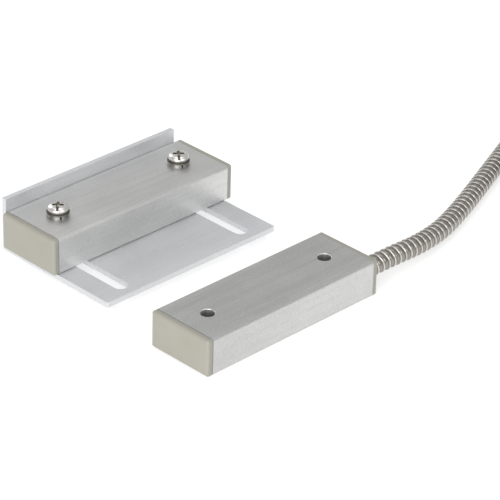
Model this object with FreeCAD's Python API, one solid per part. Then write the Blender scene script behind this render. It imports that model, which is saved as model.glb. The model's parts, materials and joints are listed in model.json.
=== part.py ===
import FreeCAD, Part
import math
import os
from FreeCAD import Vector

# Magnetic contact for an overhead door, in millimetres.
# A reed switch and a magnet, each potted in a piece of the same aluminium tube.
# The origin is midway between the switch's two mounting holes, on its mounting face.
# X runs along the housings, +Y from the switch to the magnet, +Z up.

# Aluminium tube of both housings
tube_width = 30.0
tube_height = 15.2
tube_wall = 1.6
tube_corner_radius = 1.2
magnet_length = 88.0
switch_shorter_by = 4.4

# Mounting holes through each tube, with a spacer sleeve between its walls
hole_from_magnet_end = 12.6
hole_from_switch_end = 11.4
hole_diameter = 5.5
hole_edge_break = 0.2
sleeve_outer_diameter = 8.0

# Moulded end caps: a bevelled plate outside and a hollow plug inside the tube
cap_plate = 2.6
cap_bevel = 0.8
cap_seam_break = 0.2
plug_depth = 4.0
plug_wall = 1.5
plug_clearance = 0.1

# Angle bracket of the magnet
bracket_shorter_by = 0.5
bracket_depth = 59.8
bracket_height = 22.5
bracket_thickness = 2.2
bracket_root_radius = 0.8
bracket_corner_radius = 0.6
slot_width = 6.0
slot_front_margin = 3.6
slot_rear_reach = 4.0
flange_hole_diameter = 4.2
flange_sink_diameter = 7.4
flange_hole_height = 11.0
housing_shift = 0.7

# Screws that hold the magnet on its bracket, metric four
shank_diameter = 4.0
head_diameter = 8.4
head_height = 2.7
head_rim = 1.0
head_top_diameter = 5.6
recess_slot_width = 1.1
recess_slot_depth = 1.0
recess_cross_length = 4.4
recess_cross_width = 1.35
recess_cross_depth = 1.7
recess_cross_foot = 0.45
screw_turn_left = 45.0
screw_turn_right = 50.0
screw_end_recess = 0.4
lock_washer_outer = 7.8
lock_washer_thickness = 1.1
lock_washer_gap = 0.7
lock_washer_turn = 200.0
washer_hole = 4.3
flat_washer_outer = 9.0
flat_washer_thickness = 0.8
nut_across_flats = 7.0
nut_height = 3.2

# How the two units lie beside each other
unit_gap = 25.8
unit_stagger = 2.2

# Board, reed capsule and magnets inside
core_from_sleeve = 2.4
board_width = 20.0
board_thickness = 1.2
glass_diameter = 3.4
glass_wall = 0.35
glass_length = 16.0
glass_end = 2.2
glass_offset = 4.5
blade_thickness = 0.3
common_width = 1.6
contact_width = 0.7
contact_spread = 0.5
contact_gap = 0.25
blade_overlap = 3.0
lead_reach = 7.0
pin_width = 0.8
pin_stand_off = 1.0
bias_magnet_length = 9.0
bias_magnet_side = 2.6
bias_magnet_gap = 0.6
bar_magnet_width = 20.0
bar_magnet_height = 9.0

# Armoured cable with three insulated leads
conduit_diameter = 8.2
conduit_from_front = 7.5
conduit_hole_clearance = 0.1
conduit_anchor = 7.5
boss_wall = 1.9
lead_diameter = 1.6
lead_pitch = 1.9
lead_on_board = 7.0
coil_radius = 43.0
coil_extra_turn = 54.0
coil_climb = 75.0
coil_lift = 9.2
coil_approach = 27.0
ferrule_diameter = 9.4
ferrule_length = 12.0
tail_pitch = 2.3
bend_share = 0.45

# Values that follow from the sizes above
switch_length = magnet_length - switch_shorter_by
bracket_length = magnet_length - bracket_shorter_by
half_switch_spacing = switch_length / 2 - hole_from_switch_end
half_magnet_spacing = magnet_length / 2 - hole_from_magnet_end
core_length = 2 * (half_switch_spacing - core_from_sleeve) - sleeve_outer_diameter
inner_width = tube_width - 2 * tube_wall
inner_height = tube_height - 2 * tube_wall
stand_height = nut_height + flat_washer_thickness
bracket_front = tube_width / 2 + unit_gap
bracket_back = bracket_front + bracket_depth
magnet_y = bracket_back - bracket_thickness - tube_width / 2
magnet_z = stand_height + bracket_thickness
magnet_place = Vector(unit_stagger, magnet_y, magnet_z)
bracket_x = unit_stagger - housing_shift
axis_y = -tube_width / 2 + conduit_from_front
axis_z = tube_height / 2
anchor_x = switch_length / 2 - conduit_anchor
board_top = axis_z - lead_diameter / 2
floor_z = conduit_diameter / 2

# The cable's way from the cap to the coil, chosen by hand. It leaves level and straight,
# comes down on the surface that the switch stands on, and bears away towards +Y.
conduit_route = [
    Vector(anchor_x, axis_y, axis_z),
    Vector(60.0, axis_y, axis_z),
    Vector(80.0, -5.9, 5.3),
    Vector(103.0, -0.5, floor_z),
    Vector(159.7, 22.8, floor_z),
]


def rounded_bar(x0, x1):
    """Bar along X of the tube's outline, with round long edges."""
    w = tube_width / 2
    h = tube_height
    r = tube_corner_radius
    k = r * (1 - math.sqrt(0.5))

    def at(y, z):
        return Vector(x0, y, z)

    edges = [
        Part.LineSegment(at(-w + r, 0), at(w - r, 0)),
        Part.Arc(at(w - r, 0), at(w - k, k), at(w, r)),
        Part.LineSegment(at(w, r), at(w, h - r)),
        Part.Arc(at(w, h - r), at(w - k, h - k), at(w - r, h)),
        Part.LineSegment(at(w - r, h), at(-w + r, h)),
        Part.Arc(at(-w + r, h), at(-w + k, h - k), at(-w, h - r)),
        Part.LineSegment(at(-w, h - r), at(-w, r)),
        Part.Arc(at(-w, r), at(-w + k, k), at(-w + r, 0)),
    ]
    face = Part.Face(Part.Wire([e.toShape() for e in edges]))
    return face.extrude(Vector(x1 - x0, 0, 0))


def inner_bar(x0, x1, margin=0.0):
    """Bar along X that fills the tube's inside, less a margin all round."""
    w = inner_width / 2 - margin
    low = tube_wall + margin
    return block(x0, x1, -w, w, low, tube_height - low)


def end_edges(shape, x):
    """Edges of a bar that lie in the plane at x."""
    return [e for e in shape.Edges if all(abs(v.X - x) < 1e-6 for v in e.Vertexes)]


def block(x0, x1, y0, y1, z0, z1):
    return Part.makeBox(x1 - x0, y1 - y0, z1 - z0, Vector(x0, y0, z0))


def post(diameter, x, y, z0, z1):
    return Part.makeCylinder(diameter / 2, z1 - z0, Vector(x, y, z0))


def hole_mouth(x):
    """Cone that breaks the upper edge of a mounting hole."""
    r = hole_diameter / 2
    b = hole_edge_break
    return Part.makeCone(r, r + b, b, Vector(x, 0, tube_height - b))


def moved(shape, place):
    copy = shape.copy()
    copy.translate(place)
    return copy


# Housings and what fills them

def sleeve_post(x):
    """Outside of a sleeve, from wall to wall."""
    return post(sleeve_outer_diameter, x, 0, tube_wall, tube_height - tube_wall)


def make_housing(length, half_spacing):
    """Length of rectangular tube, drilled through for two screws.

    A sleeve stands round each hole, so that a tight screw doesn't crush the tube.
    """
    tube = rounded_bar(-length / 2, length / 2).cut(inner_bar(-length / 2, length / 2))
    tube = tube.fuse([sleeve_post(x) for x in (-half_spacing, half_spacing)])
    drills = []
    for x in (-half_spacing, half_spacing):
        drills.append(post(hole_diameter, x, 0, 0, tube_height))
        drills.append(hole_mouth(x))
    return tube.cut(drills)


def make_cap(length):
    """Cap for the tube's +X end: bevelled plate, with a hollow plug inside the tube."""
    face_x = length / 2
    plate = rounded_bar(face_x, face_x + cap_plate)
    plate = plate.makeChamfer(cap_bevel, end_edges(plate, face_x + cap_plate))
    plate = plate.makeChamfer(cap_seam_break, end_edges(plate, face_x))
    plug = inner_bar(face_x - plug_depth, face_x, plug_clearance)
    hollow = inner_bar(face_x - plug_depth, face_x, plug_clearance + plug_wall)
    return plate.fuse(plug.cut(hollow)).removeSplitter()


def mirrored(shape):
    """The same piece at the tube's other end."""
    return shape.mirror(Vector(0, 0, 0), Vector(1, 0, 0))


def make_cable_cap():
    """Cap with a boss inside it, bored for the armoured cable."""
    face_x = switch_length / 2
    bore = conduit_diameter + 2 * conduit_hole_clearance
    along = Vector(1, 0, 0)
    start = Vector(face_x - plug_depth, axis_y, axis_z)
    boss = Part.makeCylinder(bore / 2 + boss_wall, plug_depth, start, along)
    limit = inner_bar(face_x - plug_depth, face_x, plug_clearance)
    hole = Part.makeCylinder(bore / 2, plug_depth + cap_plate, start, along)
    return make_cap(switch_length).fuse(boss.common(limit)).cut(hole).removeSplitter()


def make_potting(length, half_spacing, held):
    """Resin from plug to plug, moulded round what it holds."""
    end = length / 2 - plug_depth
    return inner_bar(-end, end).cut(held + [sleeve_post(-half_spacing), sleeve_post(half_spacing)])


# Reed switch on its board

reed_z = board_top + glass_diameter / 2
common_tip = blade_overlap / 2
contact_tip = -blade_overlap / 2
lead_end = glass_length / 2 + lead_reach


def make_common_blade():
    """Moving blade: enters at the -X end and stops between the two contacts."""
    half = common_width / 2
    t = blade_thickness / 2
    return block(-lead_end, common_tip, glass_offset - half, glass_offset + half,
                 reed_z - t, reed_z + t)


def make_contact(side):
    """Fixed contact from the +X end: side 1 lies on the blade, side -1 waits below it."""
    y = glass_offset + side * contact_spread
    half = contact_width / 2
    if side > 0:
        z0 = reed_z + blade_thickness / 2
    else:
        z0 = reed_z - blade_thickness / 2 - contact_gap - blade_thickness
    return block(contact_tip, lead_end, y - half, y + half, z0, z0 + blade_thickness)


def make_glass(blades):
    """Sealed glass tube, thick at its ends, where the blades pass through."""
    along = Vector(1, 0, 0)
    start = Vector(-glass_length / 2, glass_offset, reed_z)
    body = Part.makeCylinder(glass_diameter / 2, glass_length, start, along)
    hollow_start = start + Vector(glass_end, 0, 0)
    bore = glass_diameter / 2 - glass_wall
    hollow = Part.makeCylinder(bore, glass_length - 2 * glass_end, hollow_start, along)
    return body, body.cut([hollow] + blades)


def pin_stations():
    """Middle of each pin, and the underside of the blade that it carries."""
    x = lead_end - pin_width
    low_contact = reed_z - 1.5 * blade_thickness - contact_gap
    return [
        (-x, glass_offset, reed_z - blade_thickness / 2),
        (x, glass_offset + contact_spread, reed_z + blade_thickness / 2),
        (x - 3 * pin_width, glass_offset - contact_spread, low_contact),
    ]


def make_pins():
    """Upright square pins that carry the reed's blades on the board."""
    foot = board_top - board_thickness - pin_stand_off
    half = pin_width / 2
    return Part.makeCompound([block(x - half, x + half, y - half, y + half, foot, z)
                              for x, y, z in pin_stations()])


def make_board(pins):
    half = core_length / 2
    board = block(-half, half, -board_width / 2, board_width / 2,
                  board_top - board_thickness, board_top)
    return board, board.cut(pins.Solids)


def make_bias_magnet():
    """Small magnet beside the glass that makes the switch ignore a second magnet."""
    half = bias_magnet_length / 2
    y1 = glass_offset - glass_diameter / 2 - bias_magnet_gap
    return block(-half, half, y1 - bias_magnet_side, y1, board_top, board_top + bias_magnet_side)


def make_inner_lead(index):
    """Insulated lead from the board to the end of the armour, index -1, 0 or 1."""
    start = Vector(core_length / 2 - lead_on_board, axis_y + index * lead_pitch, axis_z)
    return Part.makeCylinder(lead_diameter / 2, anchor_x - start.x, start, Vector(1, 0, 0))


# Cable outside the housing

def make_cord(points, diameter, name):
    """Round solid of straight runs, joined by bends as wide as the runs allow."""
    pieces = []
    radii = []
    here = points[0]
    for before, corner, after in zip(points, points[1:], points[2:]):
        inward = (corner - before).normalize()
        outward = (after - corner).normalize()
        turn = inward.getAngle(outward)
        reach = bend_share * min((corner - before).Length, (after - corner).Length)
        radius = reach / math.tan(turn / 2)
        bend_start = corner - inward * reach
        to_centre = (outward - inward * inward.dot(outward)).normalize()
        ring = Part.makeCircle(diameter / 2, bend_start, inward)
        bend = Part.Face(Part.Wire(ring)).revolve(
            bend_start + to_centre * radius, inward.cross(to_centre), math.degrees(turn))
        run = Part.makeCylinder(diameter / 2, (bend_start - here).Length, here, inward)
        pieces = pieces + [run, bend]
        radii.append(radius)
        here = corner + outward * reach
    last_run = points[-1] - here
    pieces.append(Part.makeCylinder(diameter / 2, last_run.Length, here, last_run))
    cord = pieces[0].fuse(pieces[1:])
    length = cord.Volume / (math.pi * diameter ** 2 / 4)
    print(name, "length %.1f, bend radii" % length, " ".join("%.0f" % r for r in radii))
    return cord


heading = (conduit_route[-1] - conduit_route[-2]).normalize()
coil_bearing = math.degrees(math.atan2(heading.y, heading.x))
right_of_heading = Vector(heading.y, -heading.x, 0)
coil_start = conduit_route[-1] + heading * coil_approach
coil_centre = Vector(coil_start.x, coil_start.y, 0) + right_of_heading * coil_radius


def on_coil(turned, radius, z):
    """Point at an angle in degrees after the coil's start, the way the cable goes."""
    angle = math.radians(coil_bearing + 90 - turned)
    return coil_centre + Vector(radius * math.cos(angle), radius * math.sin(angle), z)


def coil_section(turned, z0, z1):
    """Upright square across the ring, as wide as the cable."""
    corners = [on_coil(turned, coil_radius + s * conduit_diameter / 2, z)
               for s, z in ((-1, z0), (1, z0), (1, z1), (-1, z1))]
    return Part.Face(Part.makePolygon(corners + corners[:1]))


def coil_sector(first, last, z0, z1):
    """Part of a ring as wide as the cable, between two angles after the coil's start."""
    return coil_section(first, z0, z1).revolve(coil_centre, Vector(0, 0, -1), last - first)


def make_coil():
    """Outer shape of the wound length: a full turn, and the part turn that lies on it."""
    turn = coil_sector(0, 360, 0, conduit_diameter)
    above = coil_sector(360 - coil_climb, 360 + coil_extra_turn, conduit_diameter,
                        floor_z + coil_lift + conduit_diameter / 2)
    approach = coil_section(0, 0, conduit_diameter).extrude(heading * -coil_approach)
    return turn.fuse([above, approach]).removeSplitter()


ferrule_start = on_coil(coil_extra_turn, coil_radius, floor_z + coil_lift)
ferrule_heading = (on_coil(coil_extra_turn + 90, 1.0, 0) - coil_centre).normalize()
ferrule_side = Vector(-ferrule_heading.y, ferrule_heading.x, 0)


def make_ferrule():
    """Sleeve over the cut end of the armour, closed round the three leads."""
    return Part.makeCylinder(ferrule_diameter / 2, ferrule_length, ferrule_start, ferrule_heading)


# Each lead's way from the ferrule, chosen by hand: how far ahead, how far it strays to
# the side, and its height. It leaves level, then sags towards the surface below.
tail_routes = {
    "lead_tail_common": [(20, 0, floor_z + coil_lift), (50, 4.0, 4.2)],
    "lead_tail_open": [(19, 0, floor_z + coil_lift), (53, -1.0, 3.6)],
    "lead_tail_closed": [(21, 0, floor_z + coil_lift), (47, -6.0, 5.0)],
}


def tail_points(name, index):
    """Points of one lead outside the ferrule, index 1, 0 or -1."""
    start = ferrule_start + ferrule_heading * ferrule_length + ferrule_side * (index * tail_pitch)
    points = [start]
    for ahead, stray, height in tail_routes[name]:
        point = start + ferrule_heading * ahead + ferrule_side * stray
        points.append(Vector(point.x, point.y, height))
    return points


# Magnet's bracket and fasteners

def make_bracket():
    """Extruded angle: slotted foot under the housing, drilled upright flange behind it."""
    x0 = bracket_x - bracket_length / 2
    y0 = bracket_front
    y1 = bracket_back
    z0 = stand_height
    inner_y = y1 - bracket_thickness
    inner_z = z0 + bracket_thickness
    r = bracket_root_radius
    k = r * (1 - math.sqrt(0.5))

    def at(y, z):
        return Vector(x0, y, z)

    outline = [
        Part.LineSegment(at(y0, z0), at(y1, z0)),
        Part.LineSegment(at(y1, z0), at(y1, z0 + bracket_height)),
        Part.LineSegment(at(y1, z0 + bracket_height), at(inner_y, z0 + bracket_height)),
        Part.LineSegment(at(inner_y, z0 + bracket_height), at(inner_y, inner_z + r)),
        Part.Arc(at(inner_y, inner_z + r), at(inner_y - k, inner_z + k), at(inner_y - r, inner_z)),
        Part.LineSegment(at(inner_y - r, inner_z), at(y0, inner_z)),
        Part.LineSegment(at(y0, inner_z), at(y0, z0)),
    ]
    face = Part.Face(Part.Wire([e.toShape() for e in outline]))
    angle = face.extrude(Vector(bracket_length, 0, 0))
    corners = []
    for edge in angle.Edges:
        a, b = edge.Vertexes[0].Point, edge.Vertexes[-1].Point
        if abs(a.x - b.x) < 1e-6 and abs(a.y - y0) < 1e-6 and abs(b.y - y0) < 1e-6:
            corners.append(edge)
    angle = angle.makeFillet(bracket_corner_radius, corners)
    cuts = []
    for side in (-1, 1):
        x = bracket_x + side * half_magnet_spacing
        cuts.append(make_slot(x, z0, inner_z))
        cuts.append(make_flange_hole(x, inner_y, y1))
    return angle.cut(cuts)


def make_slot(x, z0, z1):
    """Slot from near the bracket's front edge to past the screw, round at both ends."""
    r = slot_width / 2
    front = bracket_front + slot_front_margin + r
    rear = magnet_y + slot_rear_reach - r
    middle = block(x - r, x + r, front, rear, z0, z1)
    return middle.fuse([post(slot_width, x, front, z0, z1), post(slot_width, x, rear, z0, z1)])


def make_flange_hole(x, y0, y1):
    """Hole for a flat-head screw, sunk from the side that the housing covers."""
    z = stand_height + flange_hole_height
    r = flange_hole_diameter / 2
    sink = flange_sink_diameter / 2
    hole = Part.makeCylinder(r, y1 - y0, Vector(x, y0, z), Vector(0, 1, 0))
    cone = Part.makeCone(sink, r, sink - r, Vector(x, y0, z), Vector(0, 1, 0))
    return hole.fuse(cone)


def revolved(outline, x, y):
    """Solid turned about the upright axis at x, y from (radius, z) corners."""
    corners = [Vector(r, 0, z) for r, z in outline]
    face = Part.Face(Part.makePolygon(corners + corners[:1]))
    return moved(face.revolve(Vector(0, 0, 0), Vector(0, 0, 1), 360), Vector(x, y, 0))


seat_z = magnet_z + tube_height
head_z = seat_z + lock_washer_thickness


def make_screw(x, turn):
    """Pan head screw with a slot and a cross in its head, turned to an angle in degrees."""
    r = head_diameter / 2
    top = head_z + head_height
    shank = shank_diameter / 2
    outline = [
        (0, screw_end_recess), (shank, screw_end_recess), (shank, head_z),
        (r, head_z), (r, head_z + head_rim), (head_top_diameter / 2, top), (0, top),
    ]
    screw = revolved(outline, 0, 0)
    w = recess_slot_width / 2
    slot = block(-head_diameter, head_diameter, -w, w, top - recess_slot_depth, top + head_height)
    arm = recess_cross_length / 2
    floor = top - recess_cross_depth
    w = recess_cross_width / 2
    cross = []
    for direction in (Vector(1, 0, 0), Vector(0, 1, 0)):
        side = Vector(-direction.y, direction.x, 0)
        low = [direction * (s * recess_cross_foot * arm) + Vector(0, 0, floor) for s in (-1, 1)]
        high = [direction * (s * arm) + Vector(0, 0, top) for s in (1, -1)]
        ring = [p - side * w for p in low + high]
        cross.append(Part.Face(Part.makePolygon(ring + ring[:1])).extrude(side * (2 * w)))
    screw = screw.cut([slot] + cross)
    screw.rotate(Vector(0, 0, 0), Vector(0, 0, 1), turn)
    return moved(screw, Vector(x, magnet_y, 0))


def make_lock_washer(x, turn):
    """Split spring washer, pressed flat under the head."""
    ring = post(lock_washer_outer, 0, 0, seat_z, head_z).cut(post(washer_hole, 0, 0, seat_z, head_z))
    half = lock_washer_gap / 2
    split = block(0, lock_washer_outer, -half, half, seat_z, head_z)
    ring = ring.cut(split)
    ring.rotate(Vector(0, 0, 0), Vector(0, 0, 1), turn)
    return moved(ring, Vector(x, magnet_y, 0))


def make_flat_washer(x):
    top = stand_height
    ring = post(flat_washer_outer, x, magnet_y, nut_height, top)
    return ring.cut(post(washer_hole, x, magnet_y, nut_height, top))


def make_nut(x, turn):
    """Hexagon nut."""
    corner = nut_across_flats / math.sqrt(3)
    points = [Vector(corner * math.cos(math.radians(60 * i + turn)),
                     corner * math.sin(math.radians(60 * i + turn)), 0) for i in range(6)]
    hexagon = Part.Face(Part.makePolygon(points + points[:1])).extrude(Vector(0, 0, nut_height))
    nut = hexagon.cut(post(shank_diameter, 0, 0, 0, nut_height))
    return moved(nut, Vector(x, magnet_y, 0))


def make_bar_magnet():
    half = core_length / 2
    w = bar_magnet_width / 2
    z0 = (tube_height - bar_magnet_height) / 2
    return block(-half, half, -w, w, z0, z0 + bar_magnet_height)


# Nodes

def single(shape):
    """The solid itself, where a boolean left it alone in a compound."""
    return shape.Solids[0] if len(shape.Solids) == 1 else shape


def build():
    nodes = {}

    # Switch unit
    nodes["switch_housing"] = make_housing(switch_length, half_switch_spacing)
    nodes["switch_end_cap"] = mirrored(make_cap(switch_length))
    nodes["switch_cable_cap"] = make_cable_cap()
    blades = [make_common_blade(), make_contact(1), make_contact(-1)]
    glass_solid, nodes["reed_glass"] = make_glass(blades)
    nodes["reed_common_blade"] = blades[0]
    nodes["reed_closed_contact"] = blades[1]
    nodes["reed_open_contact"] = blades[2]
    pins = make_pins()
    nodes["board_pins"] = pins
    board_solid, nodes["circuit_board"] = make_board(pins)
    nodes["bias_magnet"] = make_bias_magnet()
    leads = [make_inner_lead(i) for i in (-1, 0, 1)]
    for name, lead in zip(("lead_common", "lead_open", "lead_closed"), leads):
        nodes[name] = lead

    # Cable
    nodes["conduit_run"] = make_cord(conduit_route, conduit_diameter, "conduit")
    nodes["conduit_coil"] = make_coil()
    nodes["conduit_ferrule"] = make_ferrule()
    for index, name in zip((1, 0, -1), tail_routes):
        nodes[name] = make_cord(tail_points(name, index), lead_diameter, name)

    # Resin round what the switch holds
    armour_end = Part.makeCylinder(conduit_diameter / 2, conduit_anchor,
                                   Vector(anchor_x, axis_y, axis_z), Vector(1, 0, 0))
    held = blades + [glass_solid, board_solid, nodes["bias_magnet"], armour_end]
    held = held + pins.Solids + leads
    nodes["switch_potting"] = make_potting(switch_length, half_switch_spacing, held)

    # Magnet unit
    bar = make_bar_magnet()
    cap = make_cap(magnet_length)
    own = {
        "magnet_housing": make_housing(magnet_length, half_magnet_spacing),
        "magnet_cap_left": mirrored(cap),
        "magnet_cap_right": cap,
        "bar_magnet": bar,
        "magnet_potting": make_potting(magnet_length, half_magnet_spacing, [bar]),
    }
    for name, shape in own.items():
        nodes[name] = moved(shape, magnet_place)
    nodes["mounting_bracket"] = make_bracket()
    for side, name, turn in ((-1, "left", screw_turn_left), (1, "right", screw_turn_right)):
        x = unit_stagger + side * half_magnet_spacing
        nodes["screw_" + name] = make_screw(x, turn)
        nodes["lock_washer_" + name] = make_lock_washer(x, turn + lock_washer_turn)
        nodes["flat_washer_" + name] = make_flat_washer(x)
        nodes["nut_" + name] = make_nut(x, turn)
    return nodes


os.makedirs("parts", exist_ok=True)
for name, shape in build().items():
    shape = single(shape)
    print("%-22s solids %d valid %s volume %.1f" % (name, len(shape.Solids), shape.isValid(), shape.Volume))
    shape.exportStep("parts/" + name + ".step")
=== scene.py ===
import bpy
import bmesh
import json
import math
from mathutils import Matrix, Vector


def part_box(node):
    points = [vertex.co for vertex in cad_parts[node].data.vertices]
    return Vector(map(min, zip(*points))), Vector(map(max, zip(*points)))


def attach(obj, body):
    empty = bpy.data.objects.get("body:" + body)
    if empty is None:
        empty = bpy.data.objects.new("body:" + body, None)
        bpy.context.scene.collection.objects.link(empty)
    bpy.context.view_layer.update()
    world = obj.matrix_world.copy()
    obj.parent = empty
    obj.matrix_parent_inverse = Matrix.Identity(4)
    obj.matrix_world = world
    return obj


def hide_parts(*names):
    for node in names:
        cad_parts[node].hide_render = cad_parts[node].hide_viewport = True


# Door contact: a reed switch with armoured cable, and its magnet on a slotted bracket.
# Lengths are in metres, in the part's own frame, unless a note says millimetres.
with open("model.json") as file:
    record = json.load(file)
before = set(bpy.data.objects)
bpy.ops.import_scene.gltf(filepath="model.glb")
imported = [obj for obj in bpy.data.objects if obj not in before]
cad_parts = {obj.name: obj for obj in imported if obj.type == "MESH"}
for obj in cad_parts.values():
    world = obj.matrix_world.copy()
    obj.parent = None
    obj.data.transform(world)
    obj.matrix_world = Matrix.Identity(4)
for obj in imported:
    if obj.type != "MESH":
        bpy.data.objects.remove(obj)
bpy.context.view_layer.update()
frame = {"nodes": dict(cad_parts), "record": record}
nodes = frame["nodes"]
mm = 0.001
print("frame loaded,", len(nodes), "nodes")


class Wire:
    # an output socket that can stand in a sum

    def __init__(self, tree, socket):
        self.tree = tree
        self.socket = socket

    def math(self, operation, a, b):
        return node(self.tree, "ShaderNodeMath", {"operation": operation}, {0: a, 1: b})

    def __add__(self, other):
        return self.math("ADD", self, other)

    def __radd__(self, other):
        return self.math("ADD", other, self)

    def __sub__(self, other):
        return self.math("SUBTRACT", self, other)

    def __rsub__(self, other):
        return self.math("SUBTRACT", other, self)

    def __mul__(self, other):
        return self.math("MULTIPLY", self, other)

    def __rmul__(self, other):
        return self.math("MULTIPLY", other, self)


def node(tree, kind, settings=None, values=None, output=0):
    # adds a node: its settings first, then the values or links of its sockets
    made = tree.nodes.new(kind)
    for name, setting in (settings or {}).items():
        if name == "stops":
            ramp = made.color_ramp
            while len(ramp.elements) < len(setting):
                ramp.elements.new(0.5)
            for element, (place, level) in zip(ramp.elements, setting):
                element.position = place
                element.color = (level, level, level, 1)
        else:
            setattr(made, name, setting)
    for name, value in (values or {}).items():
        socket = made.inputs[name]
        if isinstance(value, Wire):
            tree.links.new(value.socket, socket)
        elif socket.type == "RGBA":
            socket.default_value = (*value, 1)
        else:
            socket.default_value = value
    return Wire(tree, made.outputs[output]) if made.outputs else None


def stretched(tree, place, stretch):
    # a place times a factor for each axis
    return node(tree, "ShaderNodeVectorMath", {"operation": "MULTIPLY"}, {0: place, 1: stretch})


def placeOn(tree, stretch, output="Object"):
    # position on the piece, stretched
    return stretched(tree, node(tree, "ShaderNodeTexCoord", output=output), stretch)


def heightOn(tree):
    # height in the part's frame
    return node(tree, "ShaderNodeSeparateXYZ", None, {0: placeOn(tree, (1, 1, 1))}, "Z")


def absolute(tree, value):
    return node(tree, "ShaderNodeMath", {"operation": "ABSOLUTE"}, {0: value})


def noiseAt(tree, place, detail, roughness=0.5):
    values = {"Vector": place, "Scale": 1.0, "Detail": detail, "Roughness": roughness}
    return node(tree, "ShaderNodeTexNoise", None, values)


def noise(tree, stretch, detail=3.0, roughness=0.5):
    return noiseAt(tree, placeOn(tree, stretch), detail, roughness)


def between(tree, share, a, b):
    # colour between a and b, by the Mix node's own sockets for colours
    settings = {"data_type": "RGBA", "clamp_factor": True}
    return node(tree, "ShaderNodeMix", settings, {0: share, 6: a, 7: b}, 2)


def relief(tree, height, distance):
    return node(tree, "ShaderNodeBump", None, {"Height": height, "Distance": distance, "Strength": 1.0})


def newMaterial(name):
    material = bpy.data.materials.new(name)
    material.use_nodes = True
    material.node_tree.nodes.clear()
    return material, material.node_tree


def shade(tree, values):
    shader = node(tree, "ShaderNodeBsdfPrincipled", None, values)
    node(tree, "ShaderNodeOutputMaterial", None, {"Surface": shader})


# How the patterns of brushed metal are mixed
brushing = {
    "bandAlong": 0.4,           # the bands' scale as a share of the fine scratches'
    "bandAcross": 0.11,
    "cloudScale": 38,
    "tone": {"fine": 0.55, "band": 0.30, "cloud": 0.35, "grain": 0.60},
    "darker": 0.40,
    "relief": {"fine": 0.6, "band": 0.2, "grain": 0.4},
    "cloudDullness": 0.06,
}


def brushed(name, facts):
    # metal with fine scratches along X, in broader bands
    material, tree = newMaterial(name)
    along, across = facts["along"], facts["across"]
    bandAlong, bandAcross = along * brushing["bandAlong"], across * brushing["bandAcross"]
    fine = noise(tree, (along, across, across), detail=4.0, roughness=0.65)
    band = noise(tree, (bandAlong, bandAcross, bandAcross), detail=2.0)
    cloud = noise(tree, (brushing["cloudScale"],) * 3, detail=2.0)
    grain = noise(tree, (facts["grain"],) * 3, detail=2.0, roughness=0.7)
    share = brushing["tone"]
    pattern = (fine * share["fine"] + band * share["band"]
               + cloud * share["cloud"] + grain * share["grain"])
    colour = between(tree, pattern - brushing["darker"], facts["dark"], facts["light"])
    # painted light and shade down the switch's mounting holes
    if "paintedBoreShade" in facts:
        colour = withPaintedBoreShade(tree, colour, facts["paintedBoreShade"])
    share = brushing["relief"]
    scratches = fine * share["fine"] + band * share["band"] + grain * share["grain"]
    dullness = fine * facts["roughSpread"] + cloud * brushing["cloudDullness"] + facts["roughness"]
    shade(tree, {"Base Color": colour, "Metallic": 1.0, "Roughness": dullness,
                 "Normal": relief(tree, scratches, facts["scratch"])})
    return material


def withPaintedBoreShade(tree, colour, paintedBoreShade):
    # painted light and shade: a drilled wall is painted bright at its mouth and dark deeper in, where
    # shade falls; the pair lies at plus and minus this X
    flat = placeOn(tree, (1, 1, 0))
    mirrored = node(tree, "ShaderNodeVectorMath", {"operation": "ABSOLUTE"}, {0: flat})
    ends = {0: mirrored, 1: (paintedBoreShade["x"], 0, 0)}
    away = node(tree, "ShaderNodeVectorMath", {"operation": "DISTANCE"}, ends, "Value")
    middle = paintedBoreShade["length"] / 2
    shallow = absolute(tree, heightOn(tree) - middle) - (middle - paintedBoreShade["fade"])
    wall = between(tree, shallow * (1 / paintedBoreShade["fade"]), paintedBoreShade["paintedDeepShade"], paintedBoreShade["mouth"])
    return between(tree, (paintedBoreShade["radius"] - away) * (1 / paintedBoreShade["blend"]), colour, wall)


# How the patterns of plated metal are mixed
plating = {
    "cloudScale": 240,
    "grainShare": 0.5,          # the cloud has the rest
    "crownPattern": 0.3,        # what is left of the pattern on a piece with a painted crown and side
    "sideDullness": 0.30,       # extra roughness below the crown
}


def plated(name, facts):
    # plated or turned metal, with a fine even grain and small marks
    material, tree = newMaterial(name)
    grain = noise(tree, (facts["grain"],) * 3, roughness=0.6)
    cloud = noise(tree, (plating["cloudScale"],) * 3, detail=2.0)
    tone = grain * plating["grainShare"] + cloud * (1 - plating["grainShare"])
    dullness = grain * facts["roughSpread"] + facts["roughness"]
    if "paintedShadeLine" in facts:
        # painted shade on the head's side and a painted highlight on its crown: darker below this height,
        # lighter above, and duller below
        paintedShadeLine = (heightOn(tree) - facts["paintedShadeLine"]) * (1 / facts["paintedShadeBlend"])
        bright = node(tree, "ShaderNodeClamp", None, {0: paintedShadeLine})
        tone = tone * plating["crownPattern"] + bright
        dullness = dullness + (1 - bright) * plating["sideDullness"]
    shade(tree, {"Base Color": between(tree, tone, facts["dark"], facts["light"]), "Metallic": 1.0,
                 "Roughness": dullness, "Normal": relief(tree, grain, facts["scratch"])})
    return material


# How the patterns of plastic, resin and sintered stuff are mixed
moulding = {
    "cloudScale": 0.06,         # as a share of the grain's
    "grainShare": 0.35,         # the cloud has the rest
    "roughSpread": 0.12,
}


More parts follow.
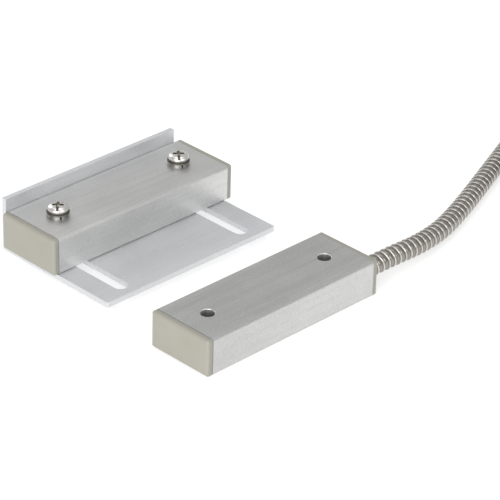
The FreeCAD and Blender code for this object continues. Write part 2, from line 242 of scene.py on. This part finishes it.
def moulded(name, facts):
    material, tree = newMaterial(name)
    grain = noise(tree, (facts["grain"],) * 3, roughness=0.6)
    cloud = noise(tree, (facts["grain"] * moulding["cloudScale"],) * 3)
    mottle = grain * moulding["grainShare"] + cloud * (1 - moulding["grainShare"])
    colour = between(tree, mottle, facts["dark"], facts["light"])
    if "rim" in facts:
        # painted shade on the cap's sides: the outer face keeps its colour; the plate's edge behind it is
        # darker
        across = node(tree, "ShaderNodeSeparateXYZ", None, {0: placeOn(tree, (1, 1, 1), "Generated")})
        outward = absolute(tree, across - 0.5) * 2
        colour = between(tree, (1 - outward) * (1 / facts["rimShadeFrom"]), colour, facts["rim"])
    shade(tree, {"Base Color": colour, "Metallic": 0.0,
                 "Roughness": grain * moulding["roughSpread"] + facts["roughness"],
                 "Normal": relief(tree, grain, facts["texture"])})
    return material


# Glass of the reed switch
reedGlass = {
    "dark": (0.70, 0.80, 0.75), "light": (0.82, 0.90, 0.86), "cloudScale": 400,
    "roughness": 0.03, "roughSpread": 0.05, "alpha": 0.30, "alphaSpread": 0.1, "ior": 1.5,
}


def clearGlass(facts):
    material, tree = newMaterial("reedGlass")
    cloud = noise(tree, (facts["cloudScale"],) * 3, detail=2.0)
    shade(tree, {"Base Color": between(tree, cloud, facts["dark"], facts["light"]), "Metallic": 0.0,
                 "Roughness": cloud * facts["roughSpread"] + facts["roughness"],
                 "Alpha": cloud * facts["alphaSpread"] + facts["alpha"], "IOR": facts["ior"]})
    return material


# Strip of the armour: a painted highlight on the ridge, painted shade in the groove beside it, and a
# duller flank, by the winding laid out in the UV map
armourStrip = {
    "dark": (0.10, 0.094, 0.081), "light": (0.88, 0.845, 0.795),
    "paintedRidgeAndGroove": [(0.0, 0.20), (0.05, 0.80), (0.13, 1.0), (0.22, 0.90), (0.29, 0.0), (0.36, 0.05),
              (0.44, 0.36), (0.70, 0.44), (0.93, 0.28)],    # share of the pitch and painted brightness: highlight on the ridge, shade in the groove
    "streaks": (14, 3, 1), "grain": 1500, "cloudScale": 160,
    "tone": {"paintedRidgeAndGroove": 0.75, "streaks": 0.5, "grain": 0.15, "cloud": 0.1}, "darker": 0.40,
    "roughness": 0.36, "crestPolish": 0.12, "roughSpread": 0.08, "scratch": 0.000005,
}


def armourSteel(facts):
    material, tree = newMaterial("armourSteel")
    winding = node(tree, "ShaderNodeTexCoord", output="UV")
    turns = node(tree, "ShaderNodeSeparateXYZ", None, {0: winding})
    phase = node(tree, "ShaderNodeMath", {"operation": "FRACT"}, {0: turns})
    # painted highlight on each ridge and painted shade in the groove beside it
    ramp = node(tree, "ShaderNodeValToRGB", {"stops": facts["paintedRidgeAndGroove"]}, {0: phase})
    paintedRidgeAndGroove = node(tree, "ShaderNodeRGBToBW", None, {0: ramp})
    streaks = noiseAt(tree, stretched(tree, winding, facts["streaks"]), detail=2.0)
    grain = noise(tree, (facts["grain"],) * 3, roughness=0.6)
    cloud = noise(tree, (facts["cloudScale"],) * 3, detail=2.0)
    share = facts["tone"]
    pattern = (paintedRidgeAndGroove * share["paintedRidgeAndGroove"] + streaks * share["streaks"]
               + grain * share["grain"] + cloud * share["cloud"])
    dullness = facts["roughness"] - paintedRidgeAndGroove * facts["crestPolish"] + grain * facts["roughSpread"]
    shade(tree, {"Base Color": between(tree, pattern - facts["darker"], facts["dark"], facts["light"]),
                 "Metallic": 1.0, "Roughness": dullness, "Normal": relief(tree, grain, facts["scratch"])})
    return material


# The switch's mounting holes, as the part's record has them
hole = next(mount for mount in frame["record"]["mounts"] if mount["name"] == "switch_hole_right")
tubeLow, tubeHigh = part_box("switch_housing")
# Painted light and shade down the switch's mounting holes: white at each mouth, darker deeper in
paintedBoreShade = {
    "x": hole["pos_m"][0],
    "radius": hole["dims"]["r_mm"] * mm + 0.00015,      # takes in the broken edge
    "blend": 0.00005,
    "length": float(tubeHigh[2] - tubeLow[2]),          # through the whole tube
    "fade": 0.0022,             # from painted light to painted shade, from each mouth inwards
    "mouth": (1.0, 1.0, 0.99), "paintedDeepShade": (0.45, 0.45, 0.44),
}
# What both tubes' finishes share, and what the leads' insulations share
tubeScratches = {"along": 30, "across": 3000, "grain": 1500, "roughness": 0.34, "roughSpread": 0.12,
                 "scratch": 0.000006}
insulation = {"grain": 1100, "roughness": 0.30, "texture": 0.00001}

# Finishes of the whole part
finishes = {
    "tube": brushed("brushedTube", {
        "dark": (0.387, 0.387, 0.382), "light": (0.75, 0.75, 0.74), "paintedBoreShade": paintedBoreShade, **tubeScratches}),
    "magnetTube": brushed("brushedMagnetTube", {
        "dark": (0.47, 0.47, 0.465), "light": (0.85, 0.85, 0.84), **tubeScratches}),
    "bracket": brushed("brushedBracket", {
        "dark": (0.60, 0.61, 0.622), "light": (0.85, 0.86, 0.873), "along": 18, "across": 2600,
        "grain": 1500, "roughness": 0.46, "roughSpread": 0.10, "scratch": 0.000004}),
    "screw": plated("nickelPlate", {
        "dark": (0.09, 0.083, 0.07), "light": (0.80, 0.785, 0.755), "grain": 1800,
        # painted shade on the head's side below this height, painted highlight on the crown above
        "paintedShadeLine": 0.0239, "paintedShadeBlend": 0.0006,
        "roughness": 0.20, "roughSpread": 0.14, "scratch": 0.000003}),
    # painted shade in the screws' recesses and on the washers under their heads
    "recess": plated("recessShade", {
        "dark": (0.13, 0.12, 0.10), "light": (0.26, 0.24, 0.20), "grain": 1800,
        "roughness": 0.40, "roughSpread": 0.12, "scratch": 0.000003}),
    "zinc": plated("zincPlate", {
        "dark": (0.24, 0.24, 0.23), "light": (0.46, 0.46, 0.44), "grain": 2200,
        "roughness": 0.28, "roughSpread": 0.16, "scratch": 0.000006}),
    "reed_metal": plated("nickelIron", {
        "dark": (0.55, 0.53, 0.48), "light": (0.76, 0.74, 0.68), "grain": 2500,
        "roughness": 0.22, "roughSpread": 0.10, "scratch": 0.000003}),
    "copper": plated("tinnedCopper", {
        "dark": (0.62, 0.50, 0.40), "light": (0.86, 0.78, 0.68), "grain": 3500,
        "roughness": 0.25, "roughSpread": 0.15, "scratch": 0.000004}),
    "cap": moulded("beigeCap", {
        "dark": (0.300, 0.290, 0.242), "light": (0.372, 0.362, 0.308), "grain": 1500,
        # painted shade: the darker colour of the plate's edge
        "rim": (0.275, 0.268, 0.232), "rimShadeFrom": 0.26,
        "roughness": 0.45, "texture": 0.00002}),
    "resin": moulded("pottingResin", {
        "dark": (0.012, 0.012, 0.014), "light": (0.03, 0.03, 0.033), "grain": 900,
        "roughness": 0.25, "texture": 0.00003}),
    "board": moulded("glassLaminate", {
        "dark": (0.02, 0.09, 0.035), "light": (0.045, 0.15, 0.06), "grain": 1600,
        "roughness": 0.35, "texture": 0.00002}),
    "magnet": moulded("sinteredMagnet", {
        "dark": (0.05, 0.05, 0.052), "light": (0.11, 0.11, 0.115), "grain": 2200,
        "roughness": 0.50, "texture": 0.00003}),
    "ferrule": moulded("shrunkSleeve", {
        "dark": (0.010, 0.010, 0.010), "light": (0.024, 0.024, 0.024), "grain": 1300,
        "roughness": 0.38, "texture": 0.00004}),
    "lead_black": moulded("blackInsulation", {
        "dark": (0.010, 0.010, 0.010), "light": (0.022, 0.022, 0.022), **insulation}),
    "lead_white": moulded("whiteInsulation", {
        "dark": (0.64, 0.63, 0.60), "light": (0.76, 0.75, 0.73), **insulation}),
    "lead_red": moulded("redInsulation", {
        "dark": (0.36, 0.014, 0.010), "light": (0.50, 0.026, 0.018), **insulation}),
    "glass": clearGlass(reedGlass),
    "armour": armourSteel(armourStrip),
}

# Finish of each solid: by the slot that the part's record names for it, or its own.
# The magnet's tube is a little lighter than the switch's.
ownFinish = {"magnet_housing": "magnetTube"}
for piece in frame["record"]["subparts"]:
    solid = nodes[piece["node"]]
    finish = finishes[ownFinish.get(piece["node"], piece["material_slot"])]
    if solid.material_slots:
        for place in solid.material_slots:
            place.material = finish
    else:
        solid.data.materials.append(finish)
print("finishes made:", len(finishes))


# Camera, solved on the straight edges of both units
camera = {
    "aim": (0.03265, 0.0415, 0.0),
    "distance": 1.0713,
    "bearing": 44.61,           # degrees in plan, from +X towards +Y
    "elevation": 29.478,
    "roll": 1.609,
    "lens": 198.67,
    "sensor": 36.0,
    "clipStart": 0.01,
}


def placeCamera(facts):
    bearing, elevation, roll = (math.radians(facts[key]) for key in ("bearing", "elevation", "roll"))
    level = math.cos(elevation)
    forward = Vector((math.cos(bearing) * level, math.sin(bearing) * level, -math.sin(elevation)))
    right = forward.cross(Vector((0, 0, 1))).normalized()
    up = right.cross(forward)
    x = right * math.cos(roll) + up * math.sin(roll)
    y = up * math.cos(roll) - right * math.sin(roll)
    lens = bpy.data.cameras.new("photoCamera")
    lens.lens = facts["lens"]
    lens.sensor_width = facts["sensor"]
    lens.clip_start = facts["clipStart"]
    made = bpy.data.objects.new("photoCamera", lens)
    bpy.context.collection.objects.link(made)
    place = Matrix.Translation(Vector(facts["aim"]) - forward * facts["distance"])
    made.matrix_world = place @ Matrix((x, y, -forward)).transposed().to_4x4()
    bpy.context.scene.camera = made


placeCamera(camera)
print("camera placed")

# Curves of the armour and the leads
curveFacts = {
    "order": 3,
    "steps": 16,                # between two points
    "roundSteps": 5,            # round a quarter of the section
}


def splineThrough(name, points, thickness=0.0):
    curve = bpy.data.curves.new(name, "CURVE")
    curve.dimensions = "3D"
    curve.resolution_u = curveFacts["steps"]
    curve.bevel_depth = thickness / 2
    curve.bevel_resolution = curveFacts["roundSteps"]
    curve.use_fill_caps = True
    spline = curve.splines.new("NURBS")
    spline.points.add(len(points) - 1)
    for point, place in zip(spline.points, points):
        point.co = (*place, 1)
    spline.order_u = curveFacts["order"]
    spline.use_endpoint_u = True
    piece = bpy.data.objects.new(name, curve)
    bpy.context.collection.objects.link(piece)
    return piece


def meshOf(piece):
    # a new mesh of the piece as it is shown
    bpy.context.view_layer.update()
    return bpy.data.meshes.new_from_object(piece.evaluated_get(bpy.context.evaluated_depsgraph_get()))


def lineThrough(name, points):
    # the places that a curve without thickness goes through
    guide = splineThrough(name, points)
    mesh = meshOf(guide)
    line = [vertex.co.copy() for vertex in mesh.vertices]
    bpy.data.meshes.remove(mesh)
    bpy.data.objects.remove(guide)
    return line


def lengthOf(line):
    return sum((b - a).length for a, b in zip(line, line[1:]))


def placesAlong(line, distances):
    # point and direction at each distance; before the start and past the end it runs on straight
    steps = [(b - a).length for a, b in zip(line, line[1:])]
    places = []
    i, gone = 0, 0.0
    for distance in distances:
        while i < len(steps) - 1 and distance > gone + steps[i]:
            gone += steps[i]
            i += 1
        heading = (line[i + 1] - line[i]) / steps[i]
        places.append((line[i] + heading * (distance - gone), heading))
    return places


def pieceFrom(name, build, slot, smooth=True, finish=None):
    # a new object from a bmesh, dressed in one of the part's slots, or in a finish that stands for it
    mesh = bpy.data.meshes.new(name)
    build.to_mesh(mesh)
    build.free()
    for face in mesh.polygons:
        face.use_smooth = smooth
    piece = bpy.data.objects.new(name, mesh)
    bpy.context.collection.objects.link(piece)
    mesh.materials.append(finishes[finish or slot])
    return piece


def ringsOf(build, outline, around, x=0.0, y=0.0):
    # a ring of points for each radius and height, round an upright axis
    angles = [2 * math.pi * i / around for i in range(around)]
    return [[build.verts.new((x + r * math.cos(a), y + r * math.sin(a), z)) for a in angles]
            for r, z in outline]


def skin(build, rings):
    # faces between each ring of points and the next
    for low, high in zip(rings, rings[1:]):
        for i in range(len(low)):
            j = (i + 1) % len(low)
            build.faces.new((low[i], low[j], high[j], high[i]))


# Screws with a pan head on a washer, in millimetres
screwHead = {
    # radius, and height from under the head
    "outline": [(3.85, 0.0), (4.10, 0.10), (4.20, 0.36), (4.20, 1.00), (4.12, 1.46), (3.90, 1.86),
                (3.52, 2.18), (2.90, 2.42), (2.00, 2.60), (1.00, 2.68)],
    "height": 2.7,
    "washer": {"radius": 4.5, "bore": 2.15, "thickness": 0.6, "edge": 0.12},
    "shank": 2.0,
    "endChamfer": 0.3,
    "around": 72,
    "slot": (20, 0.95, 1.05),       # length, right across the head, then width and depth
    "cross": (4.6, 1.35, 1.75),     # length, width and depth
    "crossFoot": (0.5, 0.8),        # shares of the length and the width left at the bottom
    "cutterAbove": 1.0,
    "edge": 0.09,
    "edgeFrom": 35.0,               # degrees between two faces with an edge worth rounding
    "turn": {"left": 45.0, "right": 50.0},
}


def lathe(outline, around):
    # solid turned about Z from the outline's foot to its top, both on the axis
    build = bmesh.new()
    foot = build.verts.new((0, 0, outline[0][1]))
    top = build.verts.new((0, 0, outline[-1][1]))
    rings = ringsOf(build, outline[1:-1], around)
    for i in range(around):
        j = (i + 1) % around
        build.faces.new((foot, rings[0][j], rings[0][i]))
        build.faces.new((top, rings[-1][i], rings[-1][j]))
    skin(build, rings)
    bmesh.ops.recalc_face_normals(build, faces=build.faces)
    return build


def tapered(lengths, widths, heights):
    # block that is lengths[0] by widths[0] at heights[0], and so on at its other end
    build = bmesh.new()
    for length, width, z in zip(lengths, widths, heights):
        for sx, sy in ((-1, -1), (1, -1), (1, 1), (-1, 1)):
            build.verts.new((sx * length / 2, sy * width / 2, z))
    bmesh.ops.convex_hull(build, input=build.verts)
    return build


def applyModifiers(piece):
    mesh = meshOf(piece)
    piece.modifiers.clear()
    old = piece.data
    piece.data = mesh
    bpy.data.meshes.remove(old)


def recessTools(top, facts):
    # cutters for the slot across the head and for the tapered cross in its middle
    above = top + facts["cutterAbove"] * mm
    length, width, depth = (v * mm for v in facts["slot"])
    tools = [tapered((length, length), (width, width), (top - depth, above))]
    arm, armWidth, armDepth = (v * mm for v in facts["cross"])
    footLength, footWidth = facts["crossFoot"]
    # the taper goes on above the head
    spread = 1 + (1 - footLength) * facts["cutterAbove"] * mm / armDepth
    lengths, widths = (arm * footLength, arm * spread), (armWidth * footWidth, armWidth)
    for degrees in (0, 90):
        tool = tapered(lengths, widths, (top - armDepth, above))
        bmesh.ops.rotate(tool, verts=tool.verts, matrix=Matrix.Rotation(math.radians(degrees), 3, "Z"))
        tools.append(tool)
    return tools


def cutAway(piece, tool):
    # the cut faces take the cutter's finish, the painted shade of a recess
    cutter = pieceFrom(piece.name + "Cutter", tool, "screw", finish="recess")
    cut = piece.modifiers.new("recess", "BOOLEAN")
    cut.operation = "DIFFERENCE"
    cut.solver = "EXACT"
    cut.material_mode = "TRANSFER"
    cut.object = cutter
    applyModifiers(piece)
    bpy.data.objects.remove(cutter)


def roundEdges(piece, facts):
    edge = piece.modifiers.new("edge", "BEVEL")
    edge.width = facts["edge"] * mm
    edge.segments = 2
    edge.limit_method = "ANGLE"
    edge.angle_limit = math.radians(facts["edgeFrom"])
    edge.harden_normals = True
    applyModifiers(piece)


def makeWasher(side, x, y, base, facts):
    washer = facts["washer"]
    radius, bore, thickness, edge = (washer[key] * mm for key in ("radius", "bore", "thickness", "edge"))
    section = [(bore, 0), (radius - edge, 0), (radius, edge), (radius, thickness - edge),
               (radius - edge, thickness), (bore, thickness)]
    build = bmesh.new()
    rings = ringsOf(build, [(r, base + z) for r, z in section], facts["around"], x, y)
    skin(build, rings + rings[:1])
    bmesh.ops.recalc_face_normals(build, faces=build.faces)
    # painted shade: dark, as it lies under the head's rim
    piece = pieceFrom(side + "HeadWasher", build, "zinc", smooth=False, finish="recess")
    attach(piece, "root")


def makeScrew(side, facts):
    # the washer lifts the head; the shank still ends where the part's does
    low, high = (Vector(corner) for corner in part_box("screw_" + side))
    thickness = facts["washer"]["thickness"] * mm
    base = high.z - facts["height"] * mm
    seat = base + thickness
    top = high.z + thickness
    shank, chamfer = facts["shank"] * mm, facts["endChamfer"] * mm
    outline = [(0, low.z), (shank - chamfer, low.z), (shank, low.z + chamfer), (shank, seat)]
    outline += [(r * mm, seat + z * mm) for r, z in facts["outline"]] + [(0, top)]
    screw = pieceFrom(side + "Screw", lathe(outline, facts["around"]), "screw")
    for tool in recessTools(top, facts):
        cutAway(screw, tool)
    roundEdges(screw, facts)
    middle = (low + high) / 2
    turn = Matrix.Rotation(math.radians(facts["turn"][side]), 4, "Z")
    screw.data.transform(Matrix.Translation((middle.x, middle.y, 0)) @ turn)
    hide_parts("screw_" + side)
    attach(screw, "root")
    makeWasher(side, middle.x, middle.y, base, facts)
    return len(screw.data.polygons)


print("screws:", [makeScrew(side, screwHead) for side in ("left", "right")], "faces")

# Painted shade in the seam between each cap and its tube: a thin dark strip set into the groove, in the
# potting resin's finish
seamShades = {
    "plate": 0.0026,            # thickness of a cap's outer plate
    "corner": 0.0012,
    "depth": 0.00009,           # below the tube's faces
    "reach": 0.0004,            # from there inwards
    "width": 0.00022,
    "cornerSteps": 6,
    "caps": {
        "switchEndSeamShade": ("switch_end_cap", "switch_housing"),
        "switchCableSeamShade": ("switch_cable_cap", "switch_housing"),
        "magnetLeftSeamShade": ("magnet_cap_left", "magnet_housing"),
        "magnetRightSeamShade": ("magnet_cap_right", "magnet_housing"),
    },
}


def roundedOutline(low, high, inset, corner, steps):
    # points round a rectangle in Y and Z with rounded corners
    radius = corner - inset
    points = []
    for sy, sz, start in ((1, 1, 0), (-1, 1, 90), (-1, -1, 180), (1, -1, 270)):
        middleY = (high.y if sy > 0 else low.y) - sy * corner
        middleZ = (high.z if sz > 0 else low.z) - sz * corner
        for i in range(steps + 1):
            angle = math.radians(start + 90 * i / steps)
            points.append((middleY + radius * math.cos(angle), middleZ + radius * math.sin(angle)))
    return points


def makeSeamShade(name, cap, housing, facts):
    low, high = (Vector(corner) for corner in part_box(housing))
    capLow, capHigh = (Vector(corner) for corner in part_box(cap))
    atLeft = capLow.x < low.x
    joint = capLow.x + facts["plate"] if atLeft else capHigh.x - facts["plate"]
    left, right = joint - facts["width"] / 2, joint + facts["width"] / 2
    outside, inside = facts["depth"], facts["depth"] + facts["reach"]
    build = bmesh.new()
    loops = []
    for inset, x in ((outside, left), (outside, right), (inside, right), (inside, left)):
        outline = roundedOutline(low, high, inset, facts["corner"], facts["cornerSteps"])
        loops.append([build.verts.new((x, y, z)) for y, z in outline])
    skin(build, loops + loops[:1])
    bmesh.ops.recalc_face_normals(build, faces=build.faces)
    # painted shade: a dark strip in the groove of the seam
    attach(pieceFrom(name, build, "resin", smooth=False), "root")


for name, (cap, housing) in seamShades["caps"].items():
    makeSeamShade(name, cap, housing, seamShades)
print("seams:", len(seamShades["caps"]))

# Armoured cable: its way as the part has it, and then the coil it is put away in
conduit = {
    "diameter": 0.0082,
    "route": [
        (0.0444, -0.0075, 0.0076), (0.0600, -0.0075, 0.0076), (0.0800, -0.0059, 0.0053),
        (0.1030, -0.0005, 0.0041), (0.1597, 0.0228, 0.0041),
    ],
    "approach": 0.027,          # straight from the route's end to the coil
    "coilRadius": 0.043,
    "extraTurn": 54.0,          # degrees past a full turn
    "climbFrom": 285.0,         # where the turn starts to climb over its own beginning
    "climbTo": 338.0,
    "lift": 0.0092,
    "coilSteps": 20,
    "pitch": 0.0032,
    # the strip's outline over one pitch: share of the pitch, depth below the outer radius
    "strip": [
        (0.00, 0.00040), (0.04, 0.00016), (0.09, 0.00004), (0.15, 0.0), (0.21, 0.00004), (0.26, 0.00018),
        (0.29, 0.00062), (0.34, 0.00060), (0.40, 0.00040), (0.65, 0.00030), (0.94, 0.00034),
    ],
    "around": 26,
    "hidden": 0.002,            # length inside the cap
    "frameStep": 0.0005,
    "weld": 0.0000005,          # points closer than this become one
}


def coilFacts(facts):
    # where the coil starts, which way the cable comes in, and the coil's centre
    last, before = Vector(facts["route"][-1]), Vector(facts["route"][-2])
    heading = (last - before).normalized()
    start = last + heading * facts["approach"]
    right = Vector((heading.y, -heading.x, 0))
    return start, heading, start + right * facts["coilRadius"]


def onCoil(facts, turnedBy, radius, height):
    # degrees turned since the coil's start
    _, heading, centre = coilFacts(facts)
    angle = math.atan2(heading.y, heading.x) + math.pi / 2 - math.radians(turnedBy)
    return Vector((centre.x + radius * math.cos(angle), centre.y + radius * math.sin(angle), height))


def coilPoints(facts):
    # corners round the coil's circle, so that the spline touches it between them
    turn = 360 + facts["extraTurn"]
    step = turn / facts["coilSteps"]
    halfStep = math.radians(step / 2)
    radius = facts["coilRadius"] / math.cos(halfStep)
    floor = facts["diameter"] / 2
    start, heading, _ = coilFacts(facts)
    points = [start - heading * facts["coilRadius"] * math.tan(halfStep)]
    for i in range(facts["coilSteps"]):
        at = (i + 0.5) * step
        rise = min(max((at - facts["climbFrom"]) / (facts["climbTo"] - facts["climbFrom"]), 0), 1)
        eased = rise * rise * (3 - 2 * rise)
        points.append(onCoil(facts, at, radius, floor + facts["lift"] * eased))
    points.append(onCoil(facts, turn, facts["coilRadius"], floor + facts["lift"]))
    return points


def framesAlong(line, stations):
    # place and two sideways directions at each station, carried along the line without twist
    frames = []
    side = Vector((0, 0, 1))
    for place, heading in placesAlong(line, stations):
        side = (side - heading * side.dot(heading)).normalized()
        frames.append((place, side, heading.cross(side)))
    return frames


def windStrip(name, line, facts):
    # point j of a row sits j / around of a pitch further on than point 0, so the rows wind as one screw
    length = lengthOf(line)
    around, pitch, hidden, outline = (facts[key] for key in ("around", "pitch", "hidden", "strip"))
    per = len(outline)
    first = -per * math.ceil(1 + hidden / pitch)
    last = per * math.ceil(length / pitch)
    count = int(length / facts["frameStep"])
    stations = [-hidden + i * (length + hidden) / count for i in range(count + 1)]
    frames = framesAlong(line, stations)
    spacing = stations[1] - stations[0]

    def turnsAt(k):
        return k // per + outline[k % per][0]

    build = bmesh.new()
    grid = []
    for k in range(first, last + 1):
        ring = []
        for j in range(around):
            distance = min(max((turnsAt(k) + j / around) * pitch, -hidden), length)
            at = (distance + hidden) / spacing
            i = min(int(at), count - 1)
            place, up, across = (a.lerp(b, at - i) for a, b in zip(frames[i], frames[i + 1]))
            radius = facts["diameter"] / 2 - outline[k % per][1]
            angle = 2 * math.pi * j / around
            outward = up * math.cos(angle) + across * math.sin(angle)
            ring.append(build.verts.new(place + outward * radius))
        grid.append(ring)
    layer = build.loops.layers.uv.new("winding")
    for k in range(len(grid) - 1 - per):
        low, high = turnsAt(k) - first // per, turnsAt(k + 1) - first // per
        for j in range(around):
            # the last point of a row meets the first one a whole pitch further on
            if j + 1 < around:
                right, rightUp = grid[k][j + 1], grid[k + 1][j + 1]
            else:
                right, rightUp = grid[k + per][0], grid[k + per + 1][0]
            face = build.faces.new((grid[k][j], right, rightUp, grid[k + 1][j]))
            corners = ((low, j), (low, j + 1), (high, j + 1), (high, j))
            for loop, (turns, step) in zip(face.loops, corners):
                loop[layer].uv = (turns, step / around)
    bmesh.ops.remove_doubles(build, verts=build.verts, dist=facts["weld"])
    bmesh.ops.recalc_face_normals(build, faces=build.faces)
    return pieceFrom(name, build, "armour")


conduitLine = lineThrough("conduitGuide", conduit["route"] + coilPoints(conduit))
armour = windStrip("armouredCable", conduitLine, conduit)
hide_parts("conduit_run", "conduit_coil")
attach(armour, "root")

# Leads beyond the ferrule: how far ahead, how far to the side, and the height, as the part has them
leads = {
    "diameter": 0.0016,
    "ferrule": 0.012,
    "pitch": 0.0023,
    "ways": {
        "common": {"place": 1, "finish": "lead_black",
                   "route": [(0.020, 0, 0.0133), (0.036, 0.0022, 0.0009), (0.050, 0.0040, 0.0009)]},
        "open": {"place": 0, "finish": "lead_white",
                 "route": [(0.019, 0, 0.0133), (0.036, -0.0005, 0.0009), (0.053, -0.0010, 0.0009)]},
        "closed": {"place": -1, "finish": "lead_red",
                   "route": [(0.021, 0, 0.0133), (0.036, -0.0035, 0.0009), (0.047, -0.0060, 0.0009)]},
    },
}
# Bare strands twisted together at the end of a lead
strandFacts = {
    "count": 7,                 # one of them in the middle
    "diameter": 0.00027,
    "stripped": 0.006,
    "twist": 0.9,               # turns over that length
    "splay": 0.12,              # how much wider the bundle is at its end
    "steps": 14,
    "around": 8,
}


def strandBundle(name, start, heading, facts):
    build = bmesh.new()
    side = heading.cross(Vector((0, 0, 1))).normalized()
    up = side.cross(heading)
    radius = facts["diameter"] / 2
    outer = facts["count"] - 1
    rim = [side * math.cos(a) + up * math.sin(a)
           for a in (2 * math.pi * j / facts["around"] for j in range(facts["around"]))]
    for strand in range(facts["count"]):
        rings = []
        for i in range(facts["steps"] + 1):
            share = i / facts["steps"]
            swing = 2 * math.pi * (strand / outer + facts["twist"] * share)
            out = 0 if strand == outer else 2 * radius * (1 + facts["splay"] * share)
            sideways = (side * math.cos(swing) + up * math.sin(swing)) * out
            spine = start + heading * (facts["stripped"] * share) + sideways
            rings.append([build.verts.new(spine + ray * radius) for ray in rim])
        skin(build, rings)
        build.faces.new(rings[0][::-1])
        build.faces.new(rings[-1])
    bmesh.ops.recalc_face_normals(build, faces=build.faces)
    return pieceFrom(name, build, "copper")


turnEnd = 360 + conduit["extraTurn"]
ferruleStart = onCoil(conduit, turnEnd, conduit["coilRadius"], conduit["diameter"] / 2 + conduit["lift"])
ferruleHeading = (onCoil(conduit, turnEnd + 90, 1, 0) - onCoil(conduit, turnEnd + 90, 0, 0)).normalized()
ferruleSide = Vector((-ferruleHeading.y, ferruleHeading.x, 0))


def makeLead(key, facts):
    lead = facts["ways"][key]
    offset = lead["place"] * facts["pitch"]
    mouth = ferruleStart + ferruleHeading * facts["ferrule"] + ferruleSide * offset
    way = [mouth]
    for ahead, stray, height in lead["route"]:
        place = mouth + ferruleHeading * ahead + ferruleSide * stray
        way.append(Vector((place.x, place.y, height)))
    length = lengthOf(lineThrough(key + "Guide", way))
    piece = splineThrough(key + "Lead", way, facts["diameter"])
    piece.data.materials.append(finishes[lead["finish"]])
    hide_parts("lead_tail_" + key)
    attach(piece, "root")
    strands = strandBundle(key + "Strands", way[-1], (way[-1] - way[-2]).normalized(), strandFacts)
    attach(strands, "root")
    print(key, "lead: %.1f mm" % (length / mm))


for key in leads["ways"]:
    makeLead(key, leads)

# Floor, even surroundings and large soft lamps
studio = {
    "floor": 6.0,
    "floorDrop": 0.0001,            # below the part, so the two don't flicker
    "floorShade": (0.48, 0.48, 0.48),
    "floorRoughness": 0.7,
    "floorSpecular": 0.2,
    "floorGlow": 0.58,              # a light table, so little shadow is left on it
    "surround": (0.53, 0.53, 0.53),
    "lamps": [
        {"name": "key", "at": (-1.12, -0.60, 0.78), "size": 1.2, "power": 17},
        {"name": "farLeft", "at": (0.20, 1.45, 0.85), "size": 0.8, "power": 3.5},
        {"name": "front", "at": (0.10, -1.45, 0.80), "size": 1.0, "power": 6.2},
        {"name": "above", "at": (0.16, 0.16, 1.45), "size": 1.2, "power": 4.2},
    ],
}


def makeFloor(facts):
    half = facts["floor"] / 2
    corners = ((-half, -half), (half, -half), (half, half), (-half, half))
    build = bmesh.new()
    build.faces.new([build.verts.new((x, y, -facts["floorDrop"])) for x, y in corners])
    mesh = bpy.data.meshes.new("floor")
    build.to_mesh(mesh)
    build.free()
    floor = bpy.data.objects.new("floor", mesh)
    bpy.context.collection.objects.link(floor)
    material, tree = newMaterial("paleFloor")
    shade(tree, {"Base Color": facts["floorShade"], "Roughness": facts["floorRoughness"],
                 "Specular IOR Level": facts["floorSpecular"],
                 "Emission Color": (1, 1, 1), "Emission Strength": facts["floorGlow"]})
    mesh.materials.append(material)


def makeLamps(facts):
    for lamp in facts["lamps"]:
        data = bpy.data.lights.new(lamp["name"], "AREA")
        data.shape = "DISK"
        data.size = lamp["size"]
        data.energy = lamp["power"]
        made = bpy.data.objects.new(lamp["name"], data)
        made.location = lamp["at"]
        made.rotation_euler = (-Vector(lamp["at"])).to_track_quat("-Z", "Y").to_euler()
        bpy.context.collection.objects.link(made)


def makeSurroundings(facts):
    world = bpy.data.worlds.new("studio")
    world.use_nodes = True
    background = world.node_tree.nodes["Background"].inputs
    background["Color"].default_value = (*facts["surround"], 1)
    background["Strength"].default_value = 1.0
    bpy.context.scene.world = world
    bpy.context.scene.view_settings.view_transform = "Standard"    # white paper stays white


makeFloor(studio)
makeLamps(studio)
makeSurroundings(studio)
print("studio lit")
